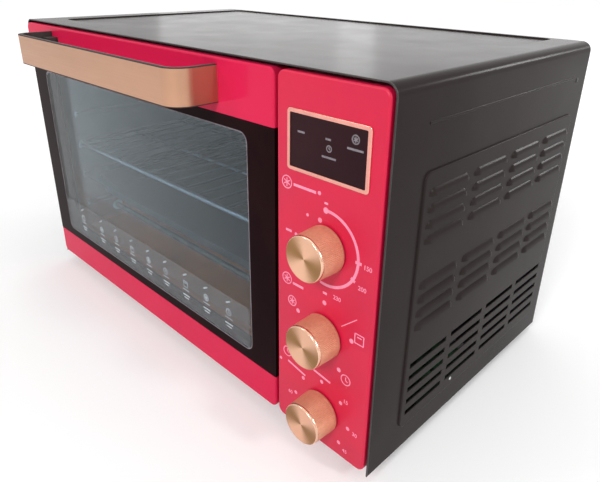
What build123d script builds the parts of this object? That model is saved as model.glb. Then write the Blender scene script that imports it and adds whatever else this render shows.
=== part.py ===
from build123d import *
import math
import os

os.makedirs("parts", exist_ok=True)

# Countertop oven, millimetres. X runs to the right, Y to the back and Z up.
# The origin is on the counter, below the middle of the whole oven.

# Overall sizes
case_width = 560.0
case_depth = 325.5          # door face to the back of the case
case_height = 322.0
foot_height = 14.0          # counter to the case
handle_reach = 41.5         # handle in front of the door face
gland_reach = 8.0           # cord gland behind the case
sheet = 1.0                 # case, base, back and front sheet
case_radius = 9.0           # soft edges of the folded case
back_lip = 20.0             # rolled edge round the back panel
bottom_flange = 12.0        # folded-in edge that carries the base plate

# Pressed shapes of the case
pad_front = 41.8            # raised field on each side, from the door face
pad_back = 27.7             # raised field to the back of the case
pad_top_drop = 66.0         # case top to the field
pad_rise = 24.7             # case bottom to the field
pad_radius = 7.0
pad_raise = 1.8
pad_soften = 1.2
rib_drop = 31.0             # small rib above the raised field
rib_radius = 1.6
rib_proud = 0.6
field_inset = 35.0          # shallow field in the top
field_back_inset = 9.0
field_depth = 1.5
field_radius = 10.0

# Louvres in each side
louvre_first = 48.0         # first column, from the door face
louvre_length = 55.0
louvre_pitch = 63.0
louvre_wall = 0.9
louvre_proud = 2.5
hood_rise = 3.4             # hood above and below its middle line
hood_fall = 2.6
hood_top_drops = (82.2, 158.4)       # first row of each group of hoods, below the case top
hood_pitch = 12.6
hood_group = 4              # rows in a group
slot_top_drop = 233.8       # first row of open slots
slot_pitch = 12.2
slot_height = 5.0
slot_margin = 5.0           # last slot to the edge of the field

# Front faces
face_proud = 3.0            # door and panel in front of the case edge
reveal = 2.0                # gap round the door and the panel inside the case
bottom_reveal = 3.5
door_panel_gap = 3.2
panel_width = 100.6
face_corner = 7.0
face_edge = 2.0
top_band_height = 44.7
bottom_band_height = 35.7
band_wall = 1.5
front_depth = 22.0          # door face to the front frame

# Door
glass_setback = 0.4
outer_glass = 4.0
inner_glass = 3.0
band_depth = 17.4
frame_sheet = 1.0
glass_gap = 0.3             # glass edge to the bands
window_side = 33.0          # black border beside the clear window
window_top_border = 10.7
window_bottom_border = 11.3
window_radius = 8.5
glass_rebate = 8.0
frame_bottom_rise = 16.0    # inner frame above the door's lower edge
gasket_width = 6.0
gasket_margin = 12.0        # gasket outside the cavity mouth
gasket_air = 0.3

# Door hinge
hinge_setback = 10.0
hinge_rise = 8.0
hinge_inset = 14.0          # ear centre from the door's end
ear_thickness = 2.5
ear_radius = 5.5
ear_arm = 8.0
ear_side_air = 1.0
pin_radius = 3.0
running = 0.05
rib_spacing = 5.5
rib_thickness = 1.5
pin_length = 18.0
spring_wire = 1.0
spring_turns = 3
spring_air = 0.4
bracket_width = 24.0
bracket_height = 30.0

# Handle
handle_left = -210.0
handle_right = 106.0
handle_height = 31.0
handle_top_drop = 5.4       # door top to the handle top
handle_bend = 18.0
strap_thickness = 3.0
liner_thickness = 1.5
mount_length = 14.0
mount_depth = 12.0
mount_height = 20.0

# Screws
screw_radius = 1.9
screw_air = 0.15
head_radius = 3.6
head_height = 2.2

# Cavity
cavity_margin = 6.0         # cavity wall outside the clear window
cavity_back_gap = 30.5      # cavity to the back of the case
liner_sheet = 0.8
ledge_reach = 7.0
ledge_height = 8.0
ledge_edge = 3.0
ledge_end_gap = 12.0
ledge_rise = 35.5           # lowest ledge above the cavity floor
ledge_drop = 63.0           # highest ledge below the ceiling
ledge_count = 4
rack_level = 2              # counted from the lowest ledge, which is 0
tray_level = 1

# Rack, tray and crumb tray
rack_wire = 2.5             # radius
bar_wire = 1.5
rack_side_air = 2.5
rack_front_gap = 6.0
rack_back_gap = 14.0
rack_corner = 14.0
rack_bars = 15
slide_air = 0.3
tray_side_air = 1.5
tray_rim = 12.0
tray_depth = 22.0
tray_sheet = 0.8
tray_back_gap = 16.0
tray_corner = 16.0
tray_draft = 4.0
crumb_margin = 3.0
crumb_height = 6.0
crumb_front_gap = 4.0

# Heating elements
element_radius = 3.5
element_offset = 55.0       # from the front and the back of the cavity
element_wall_gap = 16.0     # centre line below the ceiling
element_floor_gap = 16.0
element_tail = 13.0
insulator_radius = 7.5
insulator_length = 10.0
insulator_flange = 2.0
insulator_flange_radius = 9.5

# Convection fan, on the right wall
fan_behind_middle = 1.0     # fan centre behind the middle of the cavity
fan_housing_radius = 70.0
fan_housing_depth = 26.0
fan_flange = 8.0
fan_radius = 54.0
fan_blade_depth = 14.0
fan_blade = 1.0
fan_blades = 8
fan_hub = 9.0
fan_hub_length = 17.0
fan_shaft_radius = 2.5
fan_wall_gap = 6.0
motor_radius = 27.0
motor_length = 30.0
motor_spacer = 5.0
motor_spacer_radius = 4.0
motor_bolt_circle = 19.0
vent_hole = 2.6
vent_pitch = 9.5
vent_field = 58.0

# Lamp, on the right wall
lamp_from_back = 93.0       # lamp centre in front of the cavity back
lamp_height_drop = 30.0     # below the ceiling
lamp_radius = 17.0
lens_thickness = 2.0
lens_dome = 5.0
lamp_flange = 4.0
lamp_holder_length = 42.0
bulb_radius = 9.0
bulb_length = 22.0

# Control panel
bezel_left_inset = 11.9     # from the panel's left edge
bezel_drop = 25.2           # from the panel's top edge
bezel_width = 77.3
bezel_height = 46.6
bezel_rim = 3.0
bezel_radius = 3.0
bezel_proud = 1.2
bezel_flange = 1.5
bezel_sleeve = 6.0
window_sink = 0.9
display_glass = 2.0
fit_air = 0.1
board_thickness = 1.6
board_setback = 9.0
standoff_radius = 3.0
panel_wall = 2.5
boss_radius = 4.0
boss_inset = 12.0

# Knobs and the switches behind them
knob_from_left = 53.0       # knob centre from the panel's left edge
knob_first_drop = 124.8     # first knob centre from the panel's top edge
knob_last_rise = 36.1       # last knob centre above the panel's lower edge
knob_base_radius = 19.0
knob_tip_radius = 18.0
knob_length = 24.0
knob_air = 0.6
knob_chamfer = 1.0
knob_bore_depth = 16.0
shaft_radius = 3.0
shaft_hole_air = 1.0
bushing_radius = 5.0
bushing_proud = 6.0
shaft_seat = 10.0
thermostat_size = (44.0, 26.0, 40.0)    # X, Y, Z
selector_size = (40.0, 34.0, 40.0)
timer_size = (50.0, 36.0, 44.0)
bell_radius = 17.0
bell_depth = 10.0

# Electrical parts on the base plate
board_size = (86.0, 96.0)
board_from_face = 92.0
board_lift = 8.0
transformer_size = (34.0, 40.0, 28.0)
relay_size = (16.0, 20.0, 16.0)
terminal_size = (46.0, 20.0, 18.0)
terminal_from_back = 72.0
cutout_radius = 8.0
cutout_depth = 9.0
cutout_from_back = 40.0
cutout_drop = 40.0

# Back panel and feet
gland_radius = 8.0
gland_bore = 4.0
gland_flange = 11.0
gland_rise = 40.0           # above the base
foot_radius = 14.0
foot_tip_radius = 12.0
foot_side_inset = 46.0
foot_front_inset = 60.0
foot_back_inset = 42.0
foot_recess_radius = 5.0
foot_recess = 8.0
back_slot_length = 34.0
back_slot_height = 4.0
back_slot_pitch = 11.0
back_slot_rows = 7
back_slot_gap = 14.0

# Places worked out from the sizes above
overall_depth = handle_reach + case_depth + gland_reach
face_y = -overall_depth / 2 + handle_reach
back_y = face_y + case_depth
case_front_y = face_y + face_proud
frame_y = face_y + front_depth
half = case_width / 2
case_bottom = foot_height
case_top = foot_height + case_height
base_bottom = case_bottom + sheet
base_top = base_bottom + sheet
door_left = -half + sheet + reveal
panel_right = half - sheet - reveal
panel_left = panel_right - panel_width
door_right = panel_left - door_panel_gap
front_top = case_top - sheet - reveal - 0.6
front_bottom = case_bottom + bottom_reveal
glass_bottom = front_bottom + bottom_band_height
glass_top = front_top - top_band_height
window_left = door_left + window_side
window_right = door_right - window_side
window_bottom = glass_bottom + window_bottom_border
window_top = glass_top - window_top_border
cavity_left = window_left - cavity_margin
cavity_right = window_right + cavity_margin
cavity_bottom = window_bottom - cavity_margin
cavity_top = window_top + cavity_margin
cavity_front = frame_y + sheet
cavity_back = back_y - cavity_back_gap
cavity_depth = cavity_back - cavity_front
cavity_middle_y = (cavity_front + cavity_back) / 2
knob_x = panel_left + knob_from_left
knob_top_z = front_top - knob_first_drop
knob_low_z = front_bottom + knob_last_rise
knob_z = (knob_top_z, (knob_top_z + knob_low_z) / 2, knob_low_z)
hinge_y = face_y + hinge_setback
hinge_z = front_bottom + hinge_rise
hinge_x = (door_left + hinge_inset, door_right - hinge_inset)
handle_top = front_top - handle_top_drop
handle_bottom = handle_top - handle_height
handle_front = face_y - handle_reach
ledge_pitch = (cavity_top - cavity_bottom - ledge_rise - ledge_drop) / (ledge_count - 1)
ledges = [cavity_bottom + ledge_rise + i * ledge_pitch for i in range(ledge_count)]
fan_y = cavity_middle_y + fan_behind_middle
fan_z = (ledges[1] + ledges[2]) / 2
wall_out = cavity_right + liner_sheet
lamp_y = cavity_back - lamp_from_back
lamp_z = cavity_top - lamp_height_drop
gland_x = panel_left + panel_width / 3
gland_z = base_top + gland_rise
bezel_left = panel_left + bezel_left_inset
bezel_top = front_top - bezel_drop
screw_hole = screw_radius + screw_air


# Plain shapes between named places
def block(x0, x1, y0, y1, z0, z1):
    size = (abs(x1 - x0), abs(y1 - y0), abs(z1 - z0))
    return Pos((x0 + x1) / 2, (y0 + y1) / 2, (z0 + z1) / 2) * Box(*size)


def rod_x(radius, x0, x1, y, z):
    return Pos((x0 + x1) / 2, y, z) * Rot(0, 90, 0) * Cylinder(radius, abs(x1 - x0))


def rod_y(radius, y0, y1, x, z):
    return Pos(x, (y0 + y1) / 2, z) * Rot(90, 0, 0) * Cylinder(radius, abs(y1 - y0))


def rod_z(radius, z0, z1, x, y):
    return Pos(x, y, (z0 + z1) / 2) * Cylinder(radius, abs(z1 - z0))


def plate(x0, x1, z0, z1, y0, y1, radius):
    """An upright plate facing the front, with its four corners rounded."""
    body = block(x0, x1, y0, y1, z0, z1)
    return fillet(body.edges().filter_by(Axis.Y), radius)


def soft_front(body, y, radius):
    """Rounds the outer edges that lie in the front plane y."""
    face = body.faces().filter_by(Axis.Y).sort_by(Axis.Y)[0]
    return fillet(face.outer_wire().edges(), radius)


def along_y(points, y0, y1):
    """A bar along Y from its section, given as (x, z) points."""
    section = Plane(origin=(0, y1, 0), x_dir=(1, 0, 0), z_dir=(0, -1, 0)) * Polygon(*points, align=None)
    return extrude(section, y1 - y0, dir=(0, -1, 0))


def mirrored(body):
    return mirror(body, about=Plane.YZ)


def screw(x, y, z, direction, length):
    """A pan-head screw: its head's underside is at the point, its shank runs along the direction."""
    head = Pos(0, 0, -head_height / 2) * Cylinder(head_radius, head_height)
    shank = Pos(0, 0, length / 2) * Cylinder(screw_radius, length)
    slot = Pos(0, 0, -head_height) * Box(head_radius * 1.2, screw_radius / 2, head_height)
    body = head + shank - slot
    return Plane(origin=(x, y, z), z_dir=direction) * body


def save(name, *solids):
    shape = solids[0] if len(solids) == 1 else Compound(children=list(solids))
    export_step(shape, f"parts/{name}.step")


# Case
def case_form(inset):
    """The outside of the folded case, or its inside when inset by the sheet."""
    past = 40.0 if inset else 0.0
    body = block(-half + inset, half - inset, case_front_y - past, back_y - inset,
                 case_bottom - past, case_top - inset)
    radius = case_radius - inset
    top = body.faces().sort_by(Axis.Z)[-1]
    back = body.faces().sort_by(Axis.Y)[-1]
    top_edges = top.edges().sort_by(Axis.Y)[1:]
    back_edges = back.edges().sort_by(Axis.Z)[1:-1]
    body = fillet(top_edges + back_edges, radius)
    for side in (-1, 1):
        pad = block(half - inset - case_radius, half - inset + pad_raise,
                    face_y + pad_front + inset, back_y - pad_back - inset,
                    case_bottom + pad_rise + inset, case_top - pad_top_drop - inset)
        pad = fillet(pad.edges().filter_by(Axis.X), pad_radius - inset)
        pad = fillet(pad.faces().sort_by(Axis.X)[-1].edges(), pad_soften)
        body += pad if side > 0 else mirrored(pad)
    field = block(-half + field_inset - inset, half - field_inset + inset,
                  face_y + field_inset - inset, back_y - field_back_inset - field_radius / 2 + inset,
                  case_top - field_depth - inset, case_top + field_depth)
    field = fillet(field.edges().filter_by(Axis.Z), field_radius + inset)
    return body - field


def hood_rows_z():
    return [case_top - first - i * hood_pitch for first in hood_top_drops for i in range(hood_group)]


def slot_rows_z():
    room = case_height - pad_rise - slot_margin - slot_top_drop
    return [case_top - slot_top_drop - i * slot_pitch for i in range(int(room / slot_pitch) + 1)]


def louvre_columns_y():
    room = case_depth - pad_back - louvre_first - louvre_length
    return [face_y + louvre_first + i * louvre_pitch for i in range(int(room / louvre_pitch) + 1)]


def hood_section(proud, height, behind):
    """Half a hood from its end: a flat lip at z = 0 that curves back up to the sheet's face at x = 0."""
    radius = (height ** 2 + proud ** 2) / (2 * proud)
    half_turn = math.asin(height / radius) / 2
    middle = (proud - radius + radius * math.cos(half_turn), radius * math.sin(half_turn))
    back = Polyline((0, height), (-behind, height), (-behind, 0), (proud, 0))
    face = make_face([*back.edges(), ThreePointArc((proud, 0), middle, (0, height))])
    return Plane.XZ * face


def hood_form(proud, height, behind):
    """A hood along Y, rounded down at both ends, on a sheet whose face is at x = 0."""
    section = hood_section(proud, height, behind)
    end = revolve(section, Axis.X, 90)
    start_y = hood_rise + hood_fall
    length = louvre_length - 2 * start_y
    body = Pos(0, start_y, 0) * (end + extrude(section, length, dir=(0, 1, 0)))
    return body + Pos(0, start_y + length, 0) * mirror(end, about=Plane.XZ)


def hoods(form):
    """The form at every hood's place on the right side."""
    x = half + pad_raise
    return [Pos(x, y, z - hood_fall) * form for y in louvre_columns_y() for z in hood_rows_z()]


def side_slot(y, z):
    return block(half - case_radius / 2, half + 2 * pad_raise + 1, y, y + louvre_length,
                 z - slot_height / 2, z + slot_height / 2)


def outer_case():
    body = case_form(0) - case_form(sheet)
    body -= block(-half + back_lip, half - back_lip, back_y - case_radius, back_y + 1,
                  case_bottom - 1, case_top - back_lip)
    for side in (-1, 1):
        body += block(side * (half - sheet / 2), side * (half - bottom_flange), frame_y + sheet,
                      back_y - case_radius - sheet, case_bottom, case_bottom + sheet)
        rib = rod_y(rib_radius, face_y + pad_front, back_y - pad_back - case_radius,
                    half - rib_radius + rib_proud, case_top - rib_drop)
        rib &= block(half - sheet / 2, half + rib_radius, face_y, back_y, case_bottom, case_top)
        body += rib if side > 0 else mirrored(rib)
    height = hood_rise + hood_fall
    shells = hoods(hood_form(louvre_proud, height, sheet / 2))
    hollows = hoods(hood_form(louvre_proud - louvre_wall, height - louvre_wall, 2 * sheet))
    hollows += [side_slot(y, z) for y in louvre_columns_y() for z in slot_rows_z()]
    body = body.fuse(*shells, *[mirrored(h) for h in shells])
    body = body.cut(*hollows, *[mirrored(h) for h in hollows])
    holes = [rod_y(screw_hole, back_y - case_radius, back_y + 1, x, z) for x, z in case_screw_places()]
    return body.cut(*holes)


def case_screw_places():
    inner = half - (case_radius + back_lip) / 2
    low = base_top + back_lip
    middle = (case_bottom + case_top) / 2
    high = case_top - (case_radius + back_lip) / 2
    sides = [(s * inner, z) for s in (-1, 1) for z in (low, middle, high - back_lip)]
    return sides + [(s * half / 2, high) for s in (-1, 1)]


def back_panel():
    y1 = back_y - sheet
    edge = case_radius
    body = block(-half + edge, half - edge, y1 - sheet, y1, base_top, case_top - edge)
    corners = body.edges().filter_by(Axis.Y).sort_by(Axis.Z)[-2:]
    body = fillet(corners, case_radius)
    slots = []
    columns = int(cavity_right - cavity_left) // int(back_slot_length + back_slot_gap)
    for i in range(columns):
        x = cavity_left + back_slot_gap + i * (back_slot_length + back_slot_gap)
        for j in range(back_slot_rows):
            z = cavity_top - back_slot_gap - j * back_slot_pitch
            slots.append(block(x, x + back_slot_length, y1 - 2 * sheet, y1 + sheet, z - back_slot_height, z))
    body = body.cut(*slots, rod_y(gland_radius, y1 - 2 * sheet, y1 + sheet, gland_x, gland_z))
    return body.cut(*[rod_y(screw_hole, y1 - 2 * sheet, y1 + sheet, x, z) for x, z in case_screw_places()])


def case_screws():
    return [screw(x, back_y, z, (0, -1, 0), 4 * sheet) for x, z in case_screw_places()]


def foot_places(y):
    return [(-half + foot_side_inset, y), (half - foot_side_inset, y)]


def base_plate():
    body = block(-half + sheet, half - sheet, cavity_front, back_y - 2 * sheet, base_bottom, base_top)
    body = fillet(body.edges().filter_by(Axis.Z).sort_by(Axis.Y)[-2:], case_radius)
    holes = []
    for y in (face_y + foot_front_inset, back_y - foot_back_inset):
        holes += [rod_z(screw_hole, base_bottom - 1, base_top + 1, x, fy) for x, fy in foot_places(y)]
    for i in range(back_slot_rows):
        x = panel_left + i * back_slot_pitch
        holes.append(block(x, x + back_slot_height, back_y - terminal_from_back - 2 * back_slot_length,
                           back_y - terminal_from_back - back_slot_length, base_bottom - 1, base_top + 1))
    return body.cut(*holes)


def foot(x, y):
    body = Pos(x, y, base_bottom / 2) * Cone(foot_tip_radius, foot_radius, base_bottom)
    body = fillet(body.edges().sort_by(Axis.Z)[0], 1.5)
    body -= rod_z(foot_recess_radius, -1, foot_recess, x, y)
    return body - rod_z(screw_hole, 0, base_bottom + 1, x, y)


def foot_screws():
    places = foot_places(face_y + foot_front_inset) + foot_places(back_y - foot_back_inset)
    return [screw(x, y, foot_recess, (0, 0, 1), base_top + 3 - foot_recess) for x, y in places]


# Front frame, the plate that the door closes on
def panel_boss_places():
    return [(x, z) for x in (panel_left + boss_inset, panel_right - boss_inset)
            for z in (front_bottom + boss_inset, front_top - boss_inset)]


def front_frame():
    x1 = half - sheet - slide_air
    z1 = case_top - sheet - slide_air
    body = block(-x1, x1, frame_y, frame_y + sheet, base_top, z1)
    body = fillet(body.edges().filter_by(Axis.Y).sort_by(Axis.Z)[-2:], case_radius)
    flange = bottom_flange
    for side in (-1, 1):
        body += block(side * x1, side * (x1 - sheet), frame_y, frame_y + flange, base_top, z1 - case_radius)
    cuts = [block(cavity_left, cavity_right, frame_y - 1, cavity_front + 1, cavity_bottom, cavity_top)]
    cuts += [rod_y(bushing_radius + slide_air, frame_y - 1, cavity_front + 1, knob_x, z) for z in knob_z]
    cuts += [rod_y(screw_hole, frame_y - 1, cavity_front + 1, x, z) for x, z in panel_boss_places()]
    for x in hinge_x:
        cuts.append(block(x - ear_thickness / 2 - slide_air, x + ear_thickness / 2 + slide_air,
                          frame_y - 1, cavity_front + 1, hinge_z - ear_arm / 2 - slide_air,
                          hinge_z + ear_arm / 2 + slide_air))
    return body.cut(*cuts)


def panel_screws():
    return [screw(x, cavity_front, z, (0, -1, 0), 10) for x, z in panel_boss_places()]


# Cavity
def element_places():
    return [cavity_front + element_offset, cavity_back - element_offset]


def element_heights():
    return cavity_top - element_wall_gap, cavity_bottom + element_floor_gap


def ledge(x_wall, direction, z):
    """A pressed strip on a side wall: the rack's side wire rests on its flat top."""
    reach = direction * ledge_reach
    inner = direction * (ledge_reach - liner_sheet)
    t = liner_sheet
    outside = [(x_wall, z), (x_wall + reach, z), (x_wall + reach, z - ledge_edge), (x_wall, z - ledge_height)]
    inside = [(x_wall - direction, z - t), (x_wall + inner, z - t), (x_wall + inner, z - ledge_edge + t / 2),
              (x_wall - direction, z - ledge_height + t)]
    y0 = cavity_front + ledge_end_gap
    y1 = cavity_back - ledge_end_gap
    return along_y(outside, y0, y1) - along_y(inside, y0 + t, y1 - t)


def rack_ledges():
    return [ledge(x, s, z) for x, s in ((cavity_left, 1), (cavity_right, -1)) for z in ledges]


def side_wall(x_low, round_holes):
    """A cavity side wall from x_low: round holes are (radius, y, z)."""
    upright = Plane(origin=(x_low, 0, 0), x_dir=(0, 1, 0), z_dir=(1, 0, 0))
    middle = (cavity_middle_y, (cavity_bottom + cavity_top) / 2)
    outline = Pos(*middle) * Rectangle(cavity_depth, cavity_top - cavity_bottom + 2 * liner_sheet)
    outline -= [Pos(y, z) * Circle(radius) for radius, y, z in round_holes]
    outline -= [Pos(y, z) * Circle(insulator_radius) for y in element_places() for z in element_heights()]
    return extrude(upright * outline, liner_sheet)


def fan_vents():
    """Holes in front of the fan, only in the flat bands between the ledges."""
    steps = int(vent_field / vent_pitch) + 1
    places = []
    for i in range(-steps, steps + 1):
        for j in range(-steps, steps + 1):
            y = fan_y + (i + 0.5 * (j % 2)) * vent_pitch
            z = fan_z + j * vent_pitch
            flat = all(z - vent_hole > top + 1 or z + vent_hole < top - ledge_height - 1 for top in ledges)
            if flat and math.hypot(y - fan_y, z - fan_z) < vent_field:
                places.append((y, z))
    return places


def cavity_right_wall():
    vents = [(vent_hole, y, z) for y, z in fan_vents()]
    return side_wall(cavity_right, vents + [(lamp_radius, lamp_y, lamp_z)])


def elements(z):
    return [rod_x(element_radius, cavity_left - element_tail, cavity_right + element_tail, y, z)
            for y in element_places()]


def insulators():
    result = []
    for x_in, s in ((cavity_left, -1), (cavity_right, 1)):
        for y in element_places():
            for z in element_heights():
                outer = x_in + s * liner_sheet
                body = rod_x(insulator_radius - fit_air, x_in, outer + s * insulator_length, y, z)
                body += rod_x(insulator_flange_radius, outer, outer + s * insulator_flange, y, z)
                body -= rod_x(element_radius + fit_air, x_in - s, outer + s * (insulator_length + 1), y, z)
                result.append(body)
    return result


# Rack and trays
def wire_rack():
    z = ledges[rack_level] + slide_air + rack_wire
    x0 = cavity_left + rack_side_air + rack_wire
    x1 = cavity_right - rack_side_air - rack_wire
    y0 = cavity_front + rack_front_gap + rack_wire
    y1 = cavity_back - rack_back_gap - rack_wire
    ring = FilletPolyline((x0, y0, z), (x1, y0, z), (x1, y1, z), (x0, y1, z), radius=rack_corner, close=True)
    start = Plane(origin=ring @ 0, z_dir=ring % 0)
    body = sweep(start * Circle(rack_wire), path=ring)
    pitch = (x1 - x0) / (rack_bars + 1)
    bars = [rod_y(bar_wire, y0, y1, x0 + (i + 1) * pitch, z) for i in range(rack_bars)]
    low = z - (rack_wire - bar_wire)
    bars += [rod_x(bar_wire, x0, x1, y0 + share * (y1 - y0), low) for share in (1 / 3, 2 / 3)]
    return body.fuse(*bars)


def tray_form(inset, rim):
    """The tray's pan, tapered down, from the rim height."""
    x0 = cavity_left + ledge_reach + 2 + rim
    x1 = cavity_right - ledge_reach - 2 - rim
    y0 = cavity_front + rack_front_gap + rim
    y1 = cavity_back - tray_back_gap - rim
    z = ledges[tray_level] + slide_air
    top = Plane.XY.offset(z + inset * 2) * Pos((x0 + x1) / 2, (y0 + y1) / 2)
    low = Plane.XY.offset(z - tray_depth + inset) * Pos((x0 + x1) / 2, (y0 + y1) / 2)
    wide = (x1 - x0 - 2 * inset, y1 - y0 - 2 * inset)
    upper = top * RectangleRounded(wide[0], wide[1], tray_corner - inset)
    lower = low * RectangleRounded(wide[0] - 2 * tray_draft, wide[1] - 2 * tray_draft, tray_corner - inset)
    return loft([lower.face(), upper.face()])


def baking_tray():
    z = ledges[tray_level] + slide_air
    x0 = cavity_left + tray_side_air
    x1 = cavity_right - tray_side_air
    y0 = cavity_front + rack_front_gap
    rim = block(x0, x1, y0, cavity_back - tray_back_gap, z, z + tray_sheet)
    rim = fillet(rim.edges().filter_by(Axis.Z), tray_corner)
    return rim + tray_form(0, tray_rim) - tray_form(tray_sheet, tray_rim)


def crumb_tray():
    x0 = cavity_left + crumb_margin
    x1 = cavity_right - crumb_margin
    y0 = cavity_front + crumb_front_gap
    y1 = cavity_back - crumb_margin
    body = block(x0, x1, y0, y1, cavity_bottom, cavity_bottom + crumb_height)
    body = fillet(body.edges().filter_by(Axis.Z), crumb_margin * 2)
    return body - block(x0 + tray_sheet, x1 - tray_sheet, y0 + tray_sheet, y1 - tray_sheet,
                        cavity_bottom + tray_sheet, cavity_bottom + crumb_height + 1)


# Convection fan
def fan_housing():
    x1 = wall_out + fan_housing_depth
    body = rod_x(fan_housing_radius, wall_out, x1, fan_y, fan_z)
    body -= rod_x(fan_housing_radius - sheet, wall_out - 1, x1 - sheet, fan_y, fan_z)
    flange = rod_x(fan_housing_radius + fan_flange, wall_out, wall_out + sheet, fan_y, fan_z)
    flange -= rod_x(fan_housing_radius - sheet, wall_out - 1, x1, fan_y, fan_z)
    body += flange
    body -= rod_x(fan_shaft_radius + 1, x1 - 3, x1 + 3, fan_y, fan_z)
    return body.cut(*[rod_x(screw_hole, x1 - 3, x1 + 3, y, z) for y, z in motor_bolts()])


def motor_bolts():
    return [(fan_y + s * motor_bolt_circle, fan_z) for s in (-1, 1)]


def fan_motor():
    x0 = wall_out + fan_housing_depth + motor_spacer
    body = rod_x(motor_radius, x0, x0 + motor_length, fan_y, fan_z)
    body = chamfer(body.edges(), 1.5)
    body += block(x0 + 6, x0 + 22, fan_y - motor_radius - 6, fan_y + motor_radius + 6, fan_z - 18, fan_z + 18)
    for y, z in motor_bolts():
        body += rod_x(motor_spacer_radius, x0 - motor_spacer, x0 + 1, y, z)
        body -= rod_x(screw_hole, x0 - motor_spacer - 1, x0 + 8, y, z)
    return body - rod_x(fan_shaft_radius + running, x0 - 1, x0 + motor_length / 2, fan_y, fan_z)


def motor_screws():
    x = wall_out + fan_housing_depth - sheet
    return [screw(x, y, z, (1, 0, 0), motor_spacer + 6) for y, z in motor_bolts()]


def fan_wheel():
    x0 = wall_out + fan_wall_gap
    body = rod_x(fan_hub, x0, x0 + fan_hub_length, fan_y, fan_z)
    disc = rod_x(fan_radius, x0 + fan_blade_depth, x0 + fan_blade_depth + fan_blade, fan_y, fan_z)
    disc -= rod_x(fan_radius * 0.55, x0, x0 + fan_hub_length, fan_y, fan_z)
    blades = []
    for i in range(fan_blades):
        blade = block(0, fan_blade_depth + fan_blade / 2, fan_hub - 1, fan_radius - 1,
                      -fan_blade / 2, fan_blade / 2)
        blades.append(Pos(x0, fan_y, fan_z) * Rot(360 / fan_blades * i, 0, 0) * blade)
    body = body.fuse(disc, *blades)
    return body - rod_x(fan_shaft_radius, x0 + 3, x0 + fan_hub_length + 1, fan_y, fan_z)


def fan_shaft():
    x0 = wall_out + fan_wall_gap + 3
    x1 = wall_out + fan_housing_depth + motor_spacer + motor_length / 2 - 1
    return rod_x(fan_shaft_radius, x0, x1, fan_y, fan_z)


# Lamp
def lamp_lens():
    x = cavity_right
    body = rod_x(lamp_radius - fit_air, x - lens_dome, x + liner_sheet, lamp_y, lamp_z)
    body = fillet(body.edges().sort_by(Axis.X)[0], lens_dome - 1)
    body += rod_x(lamp_radius + lamp_flange, wall_out, wall_out + lens_thickness, lamp_y, lamp_z)
    hollow = rod_x(lamp_radius - lens_thickness, x - lens_dome + lens_thickness,
                   wall_out + lens_thickness + 1, lamp_y, lamp_z)
    return body - hollow


def lamp_holder():
    x0 = wall_out + lens_thickness
    body = rod_x(lamp_radius + lamp_flange, x0, x0 + 3, lamp_y, lamp_z)
    body += rod_x(lamp_radius, x0, x0 + lamp_holder_length, lamp_y, lamp_z)
    return body - rod_x(lamp_radius - 2, x0 - 1, x0 + lamp_holder_length - 12, lamp_y, lamp_z)


def lamp_bulb():
    x1 = wall_out + lens_thickness + lamp_holder_length - 12
    body = rod_x(bulb_radius, x1 - bulb_length, x1, lamp_y, lamp_z)
    return fillet(body.edges().sort_by(Axis.X)[0], bulb_radius * 0.8)


# Control panel and display
def control_panel():
    body = plate(panel_left, panel_right, front_bottom, front_top, face_y, frame_y, face_corner)
    body = soft_front(body, face_y, face_edge)
    inner = plate(panel_left + band_wall, panel_right - band_wall, front_bottom + band_wall,
                  front_top - band_wall, face_y + panel_wall, frame_y + 1, face_corner - band_wall)
    body -= inner
    for x, z in panel_boss_places():
        body += rod_y(boss_radius, face_y + panel_wall - 0.5, frame_y, x, z)
        body -= rod_y(screw_radius + fit_air, frame_y - 10, frame_y + 1, x, z)
    cut = bezel_flange
    body -= plate(bezel_left + cut, bezel_left + bezel_width - cut, bezel_top - bezel_height + cut,
                  bezel_top - cut, face_y - 1, face_y + panel_wall + 1, bezel_radius)
    return body.cut(*[rod_y(shaft_radius + shaft_hole_air, face_y - 1, face_y + panel_wall + 1, knob_x, z)
                      for z in knob_z])


def display_bezel():
    x1 = bezel_left + bezel_width
    z0 = bezel_top - bezel_height
    body = plate(bezel_left, x1, z0, bezel_top, face_y - bezel_proud, face_y, bezel_radius)
    body = soft_front(body, face_y - bezel_proud, 0.6)
    cut = bezel_flange + fit_air
    body += plate(bezel_left + cut, x1 - cut, z0 + cut, bezel_top - cut, face_y - 0.5, face_y + bezel_sleeve,
                  bezel_radius - fit_air)
    rim = bezel_rim
    return body - plate(bezel_left + rim, x1 - rim, z0 + rim, bezel_top - rim, face_y - 3,
                        face_y + bezel_sleeve + 1, 1.0)


def display_window():
    rim = bezel_rim + fit_air
    y0 = face_y - bezel_proud + window_sink
    return plate(bezel_left + rim, bezel_left + bezel_width - rim, bezel_top - bezel_height + rim,
                 bezel_top - rim, y0, y0 + display_glass, 0.9)


def display_board():
    rim = bezel_rim + 1
    y0 = face_y + board_setback
    body = block(bezel_left, bezel_left + bezel_width, y0, y0 + board_thickness,
                 bezel_top - bezel_height, bezel_top)
    glass_back = face_y - bezel_proud + window_sink + display_glass
    return body + block(bezel_left + rim, bezel_left + bezel_width - rim, glass_back + slide_air, y0,
                        bezel_top - bezel_height + rim, bezel_top - rim)


def board_standoffs():
    inset = standoff_radius + 1
    result = []
    for x in (bezel_left + inset, bezel_left + bezel_width - inset):
        for z in (bezel_top - bezel_height + inset, bezel_top - inset):
            result.append(rod_y(standoff_radius, face_y + board_setback + board_thickness, frame_y, x, z))
    for x, y in power_board_corners():
        result.append(rod_z(standoff_radius, base_top, base_top + board_lift, x, y))
    return result


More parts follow.
